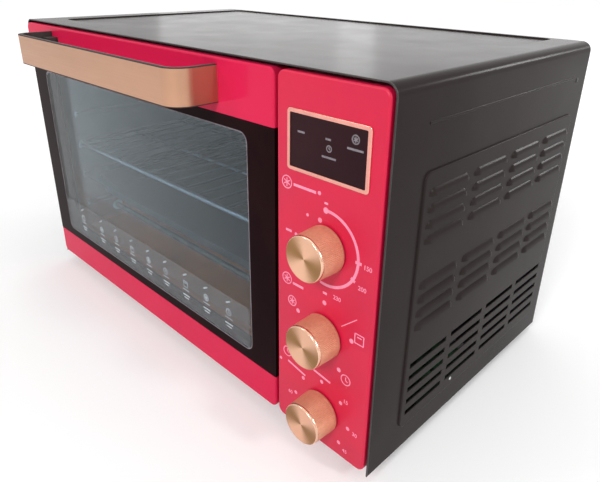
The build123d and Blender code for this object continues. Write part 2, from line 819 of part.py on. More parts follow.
# Knobs, their shafts and the switches
def knob(z):
    base = face_y - knob_air
    body = Pos(knob_x, base - knob_length / 2, z) * Rot(90, 0, 0) * Cone(knob_base_radius, knob_tip_radius,
                                                                          knob_length)
    body = chamfer(body.edges().sort_by(Axis.Y)[0], knob_chamfer)
    body -= rod_y(shaft_radius, base - knob_bore_depth, base + 1, knob_x, z)
    skirt = rod_y(knob_base_radius - 2, base - knob_bore_depth / 2, base + 1, knob_x, z)
    return body - (skirt - rod_y(shaft_radius + 3, base - knob_length, base + 2, knob_x, z))


def shaft(z):
    return rod_y(shaft_radius, face_y - knob_air - knob_bore_depth, cavity_front + shaft_seat, knob_x, z)


def switch_body(size, z):
    wide, deep, tall = size
    body = block(knob_x - wide / 2, knob_x + wide / 2, cavity_front, cavity_front + deep, z - tall / 2,
                 z + tall / 2)
    body = fillet(body.edges().filter_by(Axis.Y), 3)
    body += rod_y(bushing_radius, frame_y - bushing_proud, cavity_front + 1, knob_x, z)
    return body - rod_y(shaft_radius + running, frame_y - bushing_proud - 1, cavity_front + shaft_seat + 1,
                        knob_x, z)


def thermostat():
    z = knob_z[0]
    deep = cavity_front + thermostat_size[1]
    body = switch_body(thermostat_size, z)
    return body + rod_y(thermostat_size[0] / 3, deep - 1, deep + 6, knob_x, z)


def function_switch():
    z = knob_z[1]
    body = switch_body(selector_size, z)
    deep = cavity_front + selector_size[1]
    for i in (-1, 0, 1):
        for s in (-1, 1):
            body += block(knob_x + i * 10 - 3, knob_x + i * 10 + 3, deep - 1, deep + 8, z + s * 12 - 0.4,
                          z + s * 12 + 0.4)
    return body


def timer():
    z = knob_z[2]
    body = switch_body(timer_size, z)
    deep = cavity_front + timer_size[1]
    bell = rod_y(bell_radius, deep - 1, deep + bell_depth, knob_x, z)
    return body + fillet(bell.edges().sort_by(Axis.Y)[-1], 6)


# Electrical parts
def power_board_origin():
    return (panel_left + panel_right) / 2 - board_size[0] / 2, face_y + board_from_face


def power_board_corners():
    x, y = power_board_origin()
    inset = standoff_radius + 1
    return [(x + i, y + j) for i in (inset, board_size[0] - inset) for j in (inset, board_size[1] - inset)]


def power_board():
    x, y = power_board_origin()
    z = base_top + board_lift
    top = z + board_thickness
    body = block(x, x + board_size[0], y, y + board_size[1], z, top)
    tw, td, th = transformer_size
    body += block(x + 8, x + 8 + tw, y + 10, y + 10 + td, top - 0.1, top + th)
    rw, rd, rh = relay_size
    for i in range(3):
        y_relay = y + 12 + i * (rd + 5)
        body += block(x + board_size[0] - 8 - rw, x + board_size[0] - 8, y_relay, y_relay + rd,
                      top - 0.1, top + rh)
    return body


def terminal_block():
    wide, deep, tall = terminal_size
    x0 = gland_x - wide / 2
    y0 = back_y - terminal_from_back
    body = block(x0, x0 + wide, y0, y0 + deep, base_top, base_top + tall)
    holes = [rod_z(3, base_top + tall - 6, base_top + tall + 1, x0 + wide * (i + 0.5) / 3, y0 + deep / 2)
             for i in range(3)]
    return body.cut(*holes)


def cord_gland():
    y1 = back_y - sheet
    body = rod_y(gland_radius - fit_air, y1 - sheet - 5, back_y + gland_reach, gland_x, gland_z)
    body += rod_y(gland_flange, y1, y1 + 4, gland_x, gland_z)
    body += rod_y(gland_flange, y1 - sheet - 3, y1 - sheet, gland_x, gland_z)
    body = fillet(body.edges().sort_by(Axis.Y)[-1], 1.5)
    return body - rod_y(gland_bore, y1 - sheet - 6, back_y + gland_reach + 1, gland_x, gland_z)


def thermal_cutout():
    y = cavity_back - cutout_from_back
    z = cavity_top - cutout_drop
    body = rod_x(cutout_radius, wall_out, wall_out + cutout_depth, y, z)
    body += block(wall_out, wall_out + 1, y - 14, y + 14, z - 5, z + 5)
    for s in (-1, 1):
        body += block(wall_out + cutout_depth - 1, wall_out + cutout_depth + 8, y + s * 4 - 0.4,
                      y + s * 4 + 0.4, z - 3, z + 3)
    return body


# Door
def rounded_band(z0, z1, top):
    body = block(door_left, door_right, face_y, face_y + band_depth, z0, z1)
    upright = body.edges().filter_by(Axis.Y).sort_by(Axis.Z)
    body = fillet(upright[-2:] if top else upright[:2], face_corner)
    front = body.faces().filter_by(Axis.Y).sort_by(Axis.Y)[0].outer_wire().edges()
    middle = glass_top if top else glass_bottom
    keep = [e for e in front if abs(e.center().Z - middle) > 0.01]
    return fillet(keep, face_edge)


def band_hollow(z0, z1):
    return block(door_left + band_wall, door_right - band_wall, face_y + band_wall, face_y + band_depth + 1,
                 z0 + band_wall, z1 - band_wall)


def handle_screw_places():
    z = (handle_top + handle_bottom) / 2
    inset = strap_thickness + liner_thickness + mount_length / 2
    return [(handle_left + inset, z), (handle_right - inset, z)]


def door_top_band():
    body = rounded_band(glass_top, front_top, True)
    hollow = band_hollow(glass_top, front_top)
    hollow = fillet(hollow.edges().filter_by(Axis.Y).sort_by(Axis.Z)[-2:], face_corner - band_wall)
    body -= hollow
    return body.cut(*[rod_y(screw_hole, face_y - 1, face_y + band_wall + 1, x, z)
                      for x, z in handle_screw_places()])


def door_bottom_band():
    body = rounded_band(front_bottom, glass_bottom, False)
    hollow = band_hollow(front_bottom, glass_bottom)
    hollow = fillet(hollow.edges().filter_by(Axis.Y).sort_by(Axis.Z)[:2], face_corner - band_wall)
    body -= hollow
    for x in hinge_x:
        for s in (-1, 1):
            rib_x = x + s * rib_spacing
            body += block(rib_x - rib_thickness / 2, rib_x + rib_thickness / 2, face_y + band_wall / 2,
                          face_y + band_depth, front_bottom + band_wall / 2, glass_bottom - band_wall / 2)
        body -= rod_x(pin_radius, x - pin_length / 2, x + pin_length / 2, hinge_y, hinge_z)
        slot = ear_thickness / 2 + ear_side_air
        body -= block(x - slot, x + slot, hinge_y - ear_radius - 1, face_y + band_depth + 1,
                      front_bottom - 1, front_bottom + band_wall + 1)
    return body


def hinge_pins():
    return [rod_x(pin_radius, x - pin_length / 2, x + pin_length / 2, hinge_y, hinge_z) for x in hinge_x]


def hinge_brackets():
    result = []
    for x in hinge_x:
        t = ear_thickness
        body = block(x - t / 2, x + t / 2, hinge_y, cavity_front + 2,
                     hinge_z - ear_arm / 2, hinge_z + ear_arm / 2)
        body += rod_x(ear_radius, x - t / 2, x + t / 2, hinge_y, hinge_z)
        body += block(x - bracket_width / 2, x + bracket_width / 2, cavity_front, cavity_front + 2,
                      base_top + 0.5, base_top + bracket_height)
        body -= rod_x(pin_radius + running, x - t, x + t, hinge_y, hinge_z)
        result.append(body)
    return result


def hinge_springs():
    """A few turns round each pin, beside the ear."""
    radius = pin_radius + spring_air + spring_wire / 2
    pitch = spring_wire * 1.5
    result = []
    for x, s in zip(hinge_x, (1, -1)):
        start = x + s * (rib_spacing + rib_thickness / 2 + spring_wire / 2 + slide_air)
        path = Helix(pitch, pitch * spring_turns, radius)
        section = Plane(origin=path @ 0, z_dir=path % 0) * Circle(spring_wire / 2)
        wire = sweep(section, path=path, is_frenet=True)
        result.append(Pos(start, hinge_y, hinge_z) * Rot(0, 90 * s, 0) * wire)
    return result


def door_outer_glass():
    y0 = face_y + glass_setback
    return block(door_left, door_right, y0, y0 + outer_glass, glass_bottom + glass_gap, glass_top - glass_gap)


def door_inner_frame():
    y1 = face_y + band_depth
    glass_back = face_y + glass_setback + outer_glass
    body = block(door_left + frame_sheet, door_right - frame_sheet, y1, y1 + frame_sheet,
                 front_bottom + frame_bottom_rise, front_top - frame_sheet)
    body = fillet(body.edges().filter_by(Axis.Y).sort_by(Axis.Z)[-2:], face_corner)
    lip = glass_rebate
    ring = plate(window_left - lip, window_right + lip, window_bottom - lip, window_top + lip,
                 glass_back, y1 + frame_sheet / 2, window_radius)
    ring -= plate(window_left - lip + frame_sheet, window_right + lip - frame_sheet,
                  window_bottom - lip + frame_sheet, window_top + lip - frame_sheet,
                  glass_back - 1, y1 + 1, window_radius - frame_sheet)
    body += ring
    for x0, x1 in ((door_left, door_left + frame_sheet), (door_right - frame_sheet, door_right)):
        body += block(x0, x1, glass_back, y1 + frame_sheet, glass_bottom + glass_gap, glass_top - glass_gap)
    return body - plate(window_left, window_right, window_bottom, window_top, y1 - 1, y1 + 2, window_radius)


def door_inner_glass():
    y1 = face_y + band_depth
    lip = glass_rebate - frame_sheet - slide_air
    return plate(window_left - lip, window_right + lip, window_bottom - lip, window_top + lip,
                 y1 - inner_glass, y1, window_radius - 2)


def door_gasket():
    y0 = face_y + band_depth + frame_sheet
    y1 = frame_y - gasket_air
    out = gasket_margin
    low = max(cavity_bottom - out, front_bottom + frame_bottom_rise + 1)
    body = plate(cavity_left - out, cavity_right + out, low, cavity_top + out, y0, y1, window_radius + out)
    inside = out - gasket_width
    return body - plate(cavity_left - inside, cavity_right + inside, low + gasket_width, cavity_top + inside,
                        y0 - 1, y1 + 1, window_radius + inside)


# Handle
def strap(outside, inside):
    """A flat strip bent to a U, between two depths below the handle's outer surface."""
    x0, x1, y0 = handle_left, handle_right, handle_front
    body = block(x0 + outside, x1 - outside, y0 + outside, face_y, handle_bottom, handle_top)
    body = fillet(body.edges().filter_by(Axis.Z).sort_by(Axis.Y)[:2], handle_bend - outside)
    hollow = block(x0 + inside, x1 - inside, y0 + inside, face_y + 1, handle_bottom - 1, handle_top + 1)
    return body - fillet(hollow.edges().filter_by(Axis.Z).sort_by(Axis.Y)[:2], handle_bend - inside)


def handle_mounts():
    result = []
    z = (handle_top + handle_bottom) / 2
    for x, _ in handle_screw_places():
        body = block(x - mount_length / 2, x + mount_length / 2, face_y - mount_depth, face_y,
                     z - mount_height / 2, z + mount_height / 2)
        result.append(body - rod_y(screw_radius + fit_air, face_y - mount_depth + 2, face_y + 1, x, z))
    return result


def handle_screws():
    return [screw(x, face_y + band_wall, z, (0, -1, 0), mount_depth - 3) for x, z in handle_screw_places()]


def main():
    save("outer_case", outer_case())
    save("back_panel", back_panel())
    save("case_screws", *case_screws())
    save("base_plate", base_plate())
    save("front_feet", *[foot(x, y) for x, y in foot_places(face_y + foot_front_inset)])
    save("rear_feet", *[foot(x, y) for x, y in foot_places(back_y - foot_back_inset)])
    save("foot_screws", *foot_screws())
    save("front_frame", front_frame())
    save("panel_screws", *panel_screws())
    t = liner_sheet
    save("cavity_floor", block(cavity_left, cavity_right, cavity_front, cavity_back,
                               cavity_bottom - t, cavity_bottom))
    save("cavity_ceiling", block(cavity_left, cavity_right, cavity_front, cavity_back,
                                 cavity_top, cavity_top + t))
    save("cavity_left_wall", side_wall(cavity_left - t, []))
    save("cavity_right_wall", cavity_right_wall())
    save("rack_ledges", *rack_ledges())
    save("cavity_back_wall", block(cavity_left - t, cavity_right + t, cavity_back, cavity_back + t,
                                   cavity_bottom - t, cavity_top + t))
    high, low = element_heights()
    save("upper_elements", *elements(high))
    save("lower_elements", *elements(low))
    save("element_insulators", *insulators())
    save("wire_rack", wire_rack())
    save("baking_tray", baking_tray())
    save("crumb_tray", crumb_tray())
    save("fan_housing", fan_housing())
    save("fan_motor", fan_motor())
    save("motor_screws", *motor_screws())
    save("fan_wheel", fan_wheel())
    save("fan_shaft", fan_shaft())
    save("lamp_lens", lamp_lens())
    save("lamp_holder", lamp_holder())
    save("lamp_bulb", lamp_bulb())
    save("control_panel", control_panel())
    save("display_bezel", display_bezel())
    save("display_window", display_window())
    save("display_board", display_board())
    save("board_standoffs", *board_standoffs())
    for name, z in zip(("temperature", "function", "timer"), knob_z):
        save(f"{name}_knob", knob(z))
        save(f"{name}_shaft", shaft(z))
    save("thermostat", thermostat())
    save("function_switch", function_switch())
    save("timer_switch", timer())
    save("power_board", power_board())
    save("terminal_block", terminal_block())
    save("thermal_cutout", thermal_cutout())
    save("cord_gland", cord_gland())
    save("door_top_band", door_top_band())
    save("door_bottom_band", door_bottom_band())
    save("door_outer_glass", door_outer_glass())
    save("door_inner_frame", door_inner_frame())
    save("door_inner_glass", door_inner_glass())
    save("door_gasket", door_gasket())
    save("hinge_pins", *hinge_pins())
    save("hinge_brackets", *hinge_brackets())
    save("hinge_springs", *hinge_springs())
    save("handle_strap", strap(0, strap_thickness))
    save("handle_liner", strap(strap_thickness, strap_thickness + liner_thickness))
    save("handle_mounts", *handle_mounts())
    save("handle_screws", *handle_screws())


main()
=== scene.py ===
import math

import bmesh
import bpy
from mathutils import Matrix, Vector


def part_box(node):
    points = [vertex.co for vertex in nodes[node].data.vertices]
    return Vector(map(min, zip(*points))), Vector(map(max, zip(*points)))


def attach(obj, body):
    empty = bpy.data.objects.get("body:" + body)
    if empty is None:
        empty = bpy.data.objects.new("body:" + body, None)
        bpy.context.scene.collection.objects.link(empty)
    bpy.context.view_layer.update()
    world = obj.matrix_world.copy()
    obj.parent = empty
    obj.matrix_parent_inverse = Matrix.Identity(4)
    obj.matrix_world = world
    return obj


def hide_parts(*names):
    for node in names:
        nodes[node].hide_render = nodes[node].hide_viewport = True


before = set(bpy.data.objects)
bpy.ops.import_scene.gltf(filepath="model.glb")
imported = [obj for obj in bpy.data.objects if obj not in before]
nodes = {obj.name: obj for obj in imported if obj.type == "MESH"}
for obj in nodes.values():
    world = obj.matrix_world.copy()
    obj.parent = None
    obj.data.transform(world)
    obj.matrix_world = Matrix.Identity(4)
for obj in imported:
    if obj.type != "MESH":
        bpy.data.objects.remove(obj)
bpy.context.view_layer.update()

MM = 0.001

# Camera, as solved from the corners of the case in the photograph
CAMERA_AT = (0.4728, -0.4210, 0.3983)
CAMERA_AZIMUTH = math.radians(44.617)
CAMERA_ELEVATION = math.radians(23.702)
CAMERA_ROLL = math.radians(0.743)
PHOTO_WIDTH = 600
PHOTO_HEIGHT = 482
FOCAL_PIXELS = 557.33
AXIS_PIXEL = (299.95, 211.76)
SENSOR = 36.0
NEAREST = 0.01


def make_camera():
    """The photograph's camera: place, direction, roll, lens and framing."""
    level = math.cos(CAMERA_ELEVATION)
    forward = Vector((-math.sin(CAMERA_AZIMUTH) * level, math.cos(CAMERA_AZIMUTH) * level,
                      -math.sin(CAMERA_ELEVATION)))
    right = Vector((math.cos(CAMERA_AZIMUTH), math.sin(CAMERA_AZIMUTH), 0))
    up = right.cross(forward)
    rolled_right = math.cos(CAMERA_ROLL) * right + math.sin(CAMERA_ROLL) * up
    rolled_up = math.cos(CAMERA_ROLL) * up - math.sin(CAMERA_ROLL) * right
    data = bpy.data.cameras.new("camera")
    data.sensor_width = SENSOR
    data.lens = FOCAL_PIXELS / PHOTO_WIDTH * SENSOR
    data.shift_x = (PHOTO_WIDTH / 2 - AXIS_PIXEL[0]) / PHOTO_WIDTH
    data.shift_y = (AXIS_PIXEL[1] - PHOTO_HEIGHT / 2) / PHOTO_WIDTH
    data.clip_start = NEAREST
    camera = bpy.data.objects.new("camera", data)
    bpy.context.scene.collection.objects.link(camera)
    turn = Matrix((rolled_right, rolled_up, -forward)).transposed()
    camera.matrix_world = Matrix.Translation(CAMERA_AT) @ turn.to_4x4()
    bpy.context.scene.camera = camera


# Studio

FLOOR_SIZE = 7.0
ROOM_LIGHT = 0.40           # what the room adds to the object; it shows as plain white
FLOOR_SHADE = 0.82
FLOOR_LIFT = (0.20, 0.65)   # how much whiter the paper shows, near the object and far away
FLOOR_REACH = (0.4, 2.4)
UNDER_OVEN = (0.245, 0.105)  # half sizes of the floor in deep shade, which isn't whitened
SHADE_EDGE = 0.97           # where that shade begins to give way, as a share of its half size

# Name, place, the point it faces, size in metres and watts
LAMPS = (("window", (0.7, -1.9, 1.5), (0, 0, 0.15), 0.5, 26),
         ("left", (-1.13, -1.58, 1.65), (0, 0, 0.15), 0.45, 8),
         ("right", (2.3, 0.1, 1.3), (0.2, 0, 0.15), 0.28, 15),
         ("back_right", (1.2, 2.3, 1.0), (0.2, 0.1, 0.15), 0.34, 8),
         ("behind", (-0.9, 3.2, 0.9), (0, 0, 0.3), 3.0, 13),
         ("behind_high", (-2.1, 1.9, 0.95), (0.15, -0.14, 0.33), 1.3, 3.8),
         ("top", (0.0, 0.3, 2.0), (0, 0, 0.2), 1.6, 10))


def lamp(name, at, aim, size, watts):
    """A soft square lamp that points from one place to another."""
    data = bpy.data.lights.new(name, "AREA")
    data.size = size
    data.energy = watts
    lamp_object = bpy.data.objects.new(name, data)
    bpy.context.scene.collection.objects.link(lamp_object)
    lamp_object.location = at
    direction = Vector(aim) - Vector(at)
    lamp_object.rotation_euler = direction.to_track_quat("-Z", "Y").to_euler()


def seen_rays(tree, low, high):
    """`high` for rays that show the room in the picture, in metal or in glass, `low` for light."""
    path = tree.nodes.new("ShaderNodeLightPath")
    value = path.outputs["Is Camera Ray"]
    for name in ("Is Glossy Ray", "Is Transmission Ray"):
        larger = tree.nodes.new("ShaderNodeMath")
        larger.operation = "MAXIMUM"
        tree.links.new(value, larger.inputs[0])
        tree.links.new(path.outputs[name], larger.inputs[1])
        value = larger.outputs[0]
    ranged = tree.nodes.new("ShaderNodeMapRange")
    ranged.inputs["To Min"].default_value = low
    ranged.inputs["To Max"].default_value = high
    tree.links.new(value, ranged.inputs["Value"])
    return ranged.outputs["Result"]


def make_room():
    """An even white room."""
    world = bpy.data.worlds.new("room")
    bpy.context.scene.world = world
    world.use_nodes = True
    background = world.node_tree.nodes["Background"]
    background.inputs["Color"].default_value = (1, 1, 1, 1)
    strength = seen_rays(world.node_tree, ROOM_LIGHT, 1.0)
    world.node_tree.links.new(strength, background.inputs["Strength"])


def make_floor():
    """Pale paper, which shows whiter with distance but not under the oven."""
    floor_mesh = bpy.data.meshes.new("floor")
    grid = bmesh.new()
    bmesh.ops.create_grid(grid, x_segments=2, y_segments=2, size=FLOOR_SIZE)
    grid.to_mesh(floor_mesh)
    grid.free()
    floor = bpy.data.objects.new("floor", floor_mesh)
    bpy.context.scene.collection.objects.link(floor)
    paper = Finish("floor_paper", (FLOOR_SHADE, FLOOR_SHADE, FLOOR_SHADE), 0.9)
    paper.set(Specular_IOR_Level=0.2, Emission_Color=(1, 1, 1, 1))
    distance = paper.add("ShaderNodeVectorMath", operation="LENGTH")
    paper.link(paper.places, distance.inputs[0])
    whiter = paper.spread(distance.outputs["Value"], *FLOOR_LIFT, *FLOOR_REACH)
    apart = paper.add("ShaderNodeSeparateXYZ")
    paper.link(paper.places, apart.inputs[0])
    across, along = (paper.math("DIVIDE", paper.math("ABSOLUTE", apart.outputs[axis]), reach)
                     for axis, reach in zip("XY", UNDER_OVEN))
    bare = paper.spread(paper.math("MAXIMUM", across, along), 0, 1, SHADE_EDGE, 1.0)
    lift = paper.math("MULTIPLY", paper.math("MULTIPLY", whiter, bare),
                      seen_rays(paper.tree, 0.0, 1.0))
    paper.link(lift, paper.shader.inputs["Emission Strength"])
    floor_mesh.materials.append(paper.material)


def make_studio():
    """A pale floor that the lamps light softly, in an even white room."""
    bpy.context.scene.view_settings.view_transform = "Standard"
    make_room()
    make_floor()
    for row in LAMPS:
        lamp(*row)


# Materials

NOISE_ROUGHNESS = 0.55
LEVEL_FACING = (0.6, 0.7)   # how far up or down a face looks where a strap's dark edge begins and is full
DARK_EDGE_SOFTNESS = 0.0002
DARK_EDGE_ROUGHNESS = 0.85
RIPPLE = 0.3                # how strongly the turned rings show
PAINTED_SHEEN_SPAN = (-0.9, 0.6)    # from the painted dark wedges to the painted bright ones


class Finish:
    """A material for one kind of surface, built up from layers of noise."""

    def __init__(self, name, colour, roughness, metallic=0.0):
        self.material = bpy.data.materials.new(name)
        self.material.use_nodes = True
        self.tree = self.material.node_tree
        self.shader = self.tree.nodes["Principled BSDF"]
        self.shader.inputs["Base Color"].default_value = (*colour, 1)
        self.shader.inputs["Roughness"].default_value = roughness
        self.shader.inputs["Metallic"].default_value = metallic
        self.colour = colour
        self.places = self.add("ShaderNodeTexCoord").outputs["Object"]

    def add(self, kind, **settings):
        node = self.tree.nodes.new(kind)
        for key, value in settings.items():
            setattr(node, key, value)
        return node

    def link(self, source, target):
        self.tree.links.new(source, target)

    def set(self, **sockets):
        """Fixed values for the shader's own sockets; underscores stand for spaces."""
        for key, value in sockets.items():
            self.shader.inputs[key.replace("_", " ")].default_value = value
        return self

    def noise(self, size, stretch=(1, 1, 1), detail=3.0):
        """Noise whose lumps are about `size` metres, longer along a stretched axis."""
        mapping = self.add("ShaderNodeMapping")
        mapping.inputs["Scale"].default_value = [1 / (size * s) for s in stretch]
        self.link(self.places, mapping.inputs["Vector"])
        texture = self.add("ShaderNodeTexNoise")
        texture.inputs["Scale"].default_value = 1.0
        texture.inputs["Detail"].default_value = detail
        texture.inputs["Roughness"].default_value = NOISE_ROUGHNESS
        self.link(mapping.outputs["Vector"], texture.inputs["Vector"])
        return texture.outputs["Fac"]

    def spread(self, value, low, high, start=0.3, end=0.7):
        """A value carried from start..end to low..high."""
        ranged = self.add("ShaderNodeMapRange")
        ranged.inputs["From Min"].default_value = start
        ranged.inputs["From Max"].default_value = end
        ranged.inputs["To Min"].default_value = low
        ranged.inputs["To Max"].default_value = high
        self.link(value, ranged.inputs["Value"])
        return ranged.outputs["Result"]

    def mottle(self, other, size, stretch=(1, 1, 1), start=0.35, end=0.7, detail=3.0):
        """The colour drifts to another one in patches."""
        self.blend(other, self.spread(self.noise(size, stretch, detail), 0, 1, start, end))
        return self

    def fade(self, other, high, low, middle):
        """The colour turns to another one between z = high and z = low, on faces that look to `middle`."""
        height = self.add("ShaderNodeSeparateXYZ")
        self.link(self.places, height.inputs[0])
        inward = self.add("ShaderNodeVectorMath", operation="SUBTRACT")
        inward.inputs[0].default_value = middle
        self.link(self.places, inward.inputs[1])
        facing = self.add("ShaderNodeVectorMath", operation="DOT_PRODUCT")
        self.link(inward.outputs["Vector"], facing.inputs[0])
        self.link(self.add("ShaderNodeTexCoord").outputs["Normal"], facing.inputs[1])
        inside = self.math("GREATER_THAN", facing.outputs["Value"], 0)
        lower = self.spread(height.outputs["Z"], 1, 0, low, high)
        self.blend(other, self.math("MULTIPLY", inside, lower))
        return self

    def blend(self, other, share):
        """The colour gives way to another one by a share from 0 to 1."""
        mix = self.add("ShaderNodeMix", data_type="RGBA")
        mix.inputs["B"].default_value = (*other, 1)
        socket = self.shader.inputs["Base Color"]
        if socket.is_linked:
            self.link(socket.links[0].from_socket, mix.inputs["A"])
        else:
            mix.inputs["A"].default_value = (*self.colour, 1)
        self.link(share, mix.inputs["Factor"])
        self.link(mix.outputs["Result"], socket)

    def edges(self, other, metallic, middle, reach):
        """A dark, dull colour on a strap's up- and down-facing edges, and beyond `reach` from its middle
        height.
        """
        facing = self.add("ShaderNodeSeparateXYZ")
        height = self.add("ShaderNodeSeparateXYZ")
        self.link(self.add("ShaderNodeTexCoord").outputs["Normal"], facing.inputs[0])
        self.link(self.places, height.inputs[0])
        level = self.spread(self.math("ABSOLUTE", facing.outputs["Z"]), 0, 1, *LEVEL_FACING)
        away = self.math("ABSOLUTE", self.math("SUBTRACT", height.outputs["Z"], middle))
        dark_edge = self.math("MAXIMUM", level, self.spread(away, 0, 1, reach - DARK_EDGE_SOFTNESS, reach))
        self.blend(other, dark_edge)
        self.link(self.spread(dark_edge, metallic, 0, 0, 1), self.shader.inputs["Metallic"])
        roughness = self.shader.inputs["Roughness"]
        dull = self.math("MULTIPLY", dark_edge, DARK_EDGE_ROUGHNESS)
        self.link(self.math("MAXIMUM", roughness.links[0].from_socket, dull), roughness)

    def math(self, operation, first, second=None):
        node = self.add("ShaderNodeMath", operation=operation)
        for i, value in enumerate((first, second)):
            if isinstance(value, (int, float)):
                node.inputs[i].default_value = value
            elif value is not None:
                self.link(value, node.inputs[i])
        return node.outputs[0]

    def turned(self, other, painted_highlight_at, rings):
        """Two darker wedges of another colour between two bright ones, a painted highlight and shade, and
        fine rings as on metal turned about the piece's Y axis.
        """
        middle = self.add("ShaderNodeVectorMath", operation="SUBTRACT")
        middle.inputs[1].default_value = (0.5, 0.5, 0.5)
        self.link(self.add("ShaderNodeTexCoord").outputs["Generated"], middle.inputs[0])
        apart = self.add("ShaderNodeSeparateXYZ")
        self.link(middle.outputs["Vector"], apart.inputs[0])
        turn = self.math("ARCTAN2", apart.outputs["Z"], apart.outputs["X"])
        past = self.math("SUBTRACT", turn, math.radians(painted_highlight_at))
        sheen_wave = self.math("COSINE", self.math("MULTIPLY", past, 2))
        squares = [self.math("MULTIPLY", apart.outputs[axis], apart.outputs[axis]) for axis in "XZ"]
        radius = self.math("SQRT", self.math("ADD", *squares))
        ripple = self.math("MULTIPLY", self.math("SINE", self.math("MULTIPLY", radius, rings)), RIPPLE)
        self.blend(other, self.spread(self.math("ADD", sheen_wave, ripple), 1, 0, *PAINTED_SHEEN_SPAN))
        return self

    def gloss(self, low, high, size, stretch=(1, 1, 1)):
        """The roughness wanders between two values."""
        self.link(self.spread(self.noise(size, stretch), low, high), self.shader.inputs["Roughness"])
        return self

    def relief(self, height, size, stretch=(1, 1, 1), detail=2.0):
        """Bumps about `height` metres tall."""
        bump = self.add("ShaderNodeBump")
        bump.inputs["Strength"].default_value = 1.0
        bump.inputs["Distance"].default_value = height
        self.link(self.noise(size, stretch, detail), bump.inputs["Height"])
        socket = self.shader.inputs["Normal"]
        if socket.is_linked:
            self.link(socket.links[0].from_socket, bump.inputs["Normal"])
        self.link(bump.outputs["Normal"], socket)
        return self


HANDLE_MIDDLE = 0.3115      # the strap's middle height, and how far from it the metal shows
HANDLE_BARE = 0.0148
CAVITY_MIDDLE = (-0.052, 0.013, 0.17)
BROWNED = (0.155, 0.08)     # heights where the heat's brown begins on the cavity's walls and is full
PAINTED_HIGHLIGHT_AT = 68              # the angle of a knob face's painted highlight wedges
FACE_RINGS = 260            # how closely its turned rings follow each other

finishes = {}


def finish(name, colour, roughness, metallic=0.0):
    """A new finish, kept by its name."""
    finishes[name] = Finish(name, colour, roughness, metallic)
    return finishes[name]


def make_sheet_finishes():
    """The painted case, and bare and heat-browned zinc, with a darker copy of the zinc for the base plate
    as painted shade.
    """
    case = finish("case_paint", (0.028, 0.021, 0.0205), 0.22)
    case.mottle((0.034, 0.027, 0.0265), 0.12).gloss(0.20, 0.24, 0.05)
    case.relief(0.000008, 0.0007).set(Specular_IOR_Level=0.03)
    # The hem's paint is glossier than the case's, which is real, and its lighter patches are a painted
    # highlight along the front edge.
    hem = finish("hem_paint", (0.030, 0.024, 0.023), 0.32)
    hem.mottle((0.048, 0.040, 0.039), 0.01).gloss(0.30, 0.40, 0.005).set(Specular_IOR_Level=0.3)
    zinc = finish("zinc_sheet", (0.36, 0.37, 0.38), 0.42, 1.0)
    zinc.mottle((0.31, 0.32, 0.33), 0.006, detail=1.0).gloss(0.39, 0.46, 0.01)
    # The base plate's zinc is darker than the bare zinc: painted shade.
    zinc_painted_shade = finish("base_zinc_painted_shade", (0.10, 0.105, 0.11), 0.5, 1.0)
    zinc_painted_shade.mottle((0.07, 0.073, 0.078), 0.008, detail=1.0).gloss(0.45, 0.6, 0.01)
    baked = finish("cavity_zinc", (0.45, 0.49, 0.53), 0.38, 1.0)
    baked.mottle((0.37, 0.41, 0.45), 0.03, detail=1.0)
    baked.fade((0.56, 0.25, 0.12), *BROWNED, CAVITY_MIDDLE).gloss(0.33, 0.45, 0.03)
    bronze = finish("baked_floor", (0.76, 0.25, 0.08), 0.42, 0.25)
    bronze.mottle((0.60, 0.19, 0.06), 0.05).gloss(0.36, 0.5, 0.02)


def make_front_finishes():
    """Red enamel and plastic, and the rose gold of the handle, the knobs and the bezel, with painted sheen
    on the knob faces and a painted red reflection on the bezel.
    """
    red = finish("red_enamel", (0.70, 0.013, 0.072), 0.28)
    red.mottle((0.66, 0.013, 0.070), 0.08).gloss(0.285, 0.33, 0.03)
    red.set(Specular_IOR_Level=0.02, Coat_Weight=0.24, Coat_Roughness=0.10)
    plastic = finish("red_plastic", (0.66, 0.006, 0.050), 0.38)
    plastic.mottle((0.60, 0.008, 0.052), 0.05).relief(0.00001, 0.0008).set(Specular_IOR_Level=0.35)
    gold = finish("rose_gold", (0.58, 0.335, 0.225), 0.33, 1.0)
    gold.mottle((0.54, 0.31, 0.21), 0.04, (3, 1, 1)).gloss(0.29, 0.38, 0.0008, (60, 1, 1))
    gold.relief(0.000003, 0.0005, (120, 1, 1))
    strap = finish("handle_gold", (0.50, 0.28, 0.18), 0.34, 0.85)
    strap.mottle((0.46, 0.255, 0.162), 0.04, (3, 1, 1)).gloss(0.33, 0.42, 0.0008, (60, 1, 1))
    strap.edges((0.030, 0.012, 0.012), 0.85, HANDLE_MIDDLE, HANDLE_BARE)
    spun = finish("spun_gold", (0.78, 0.46, 0.31), 0.30, 1.0)
    # The knob faces' bright and dark wedges are painted highlight and shade, on top of a real anisotropic
    # sheen.
    spun.turned((0.28, 0.145, 0.055), PAINTED_HIGHLIGHT_AT, FACE_RINGS).set(Anisotropic=0.3)
    spun.link(spun.add("ShaderNodeTangent", axis="Y").outputs["Tangent"], spun.shader.inputs["Tangent"])
    knurled = finish("knurled_gold", (0.72, 0.40, 0.25), 0.45, 0.6)
    knurled.mottle((0.64, 0.34, 0.21), 0.0012, (1, 3, 1)).gloss(0.40, 0.55, 0.003)
    rim = finish("polished_gold", (0.80, 0.50, 0.36), 0.22, 1.0)
    rim.mottle((0.74, 0.45, 0.32), 0.01).gloss(0.18, 0.26, 0.004)
    # The bezel's rose gold is pinker and lighter than the knobs' and the handle's: a painted reflection of
    # the red panel round it.
    bezel_red_reflection = finish("bezel_gold_painted_red_reflection", (0.74, 0.34, 0.28), 0.24, 0.85)
    bezel_red_reflection.mottle((0.68, 0.30, 0.25), 0.01).gloss(0.19, 0.26, 0.004)


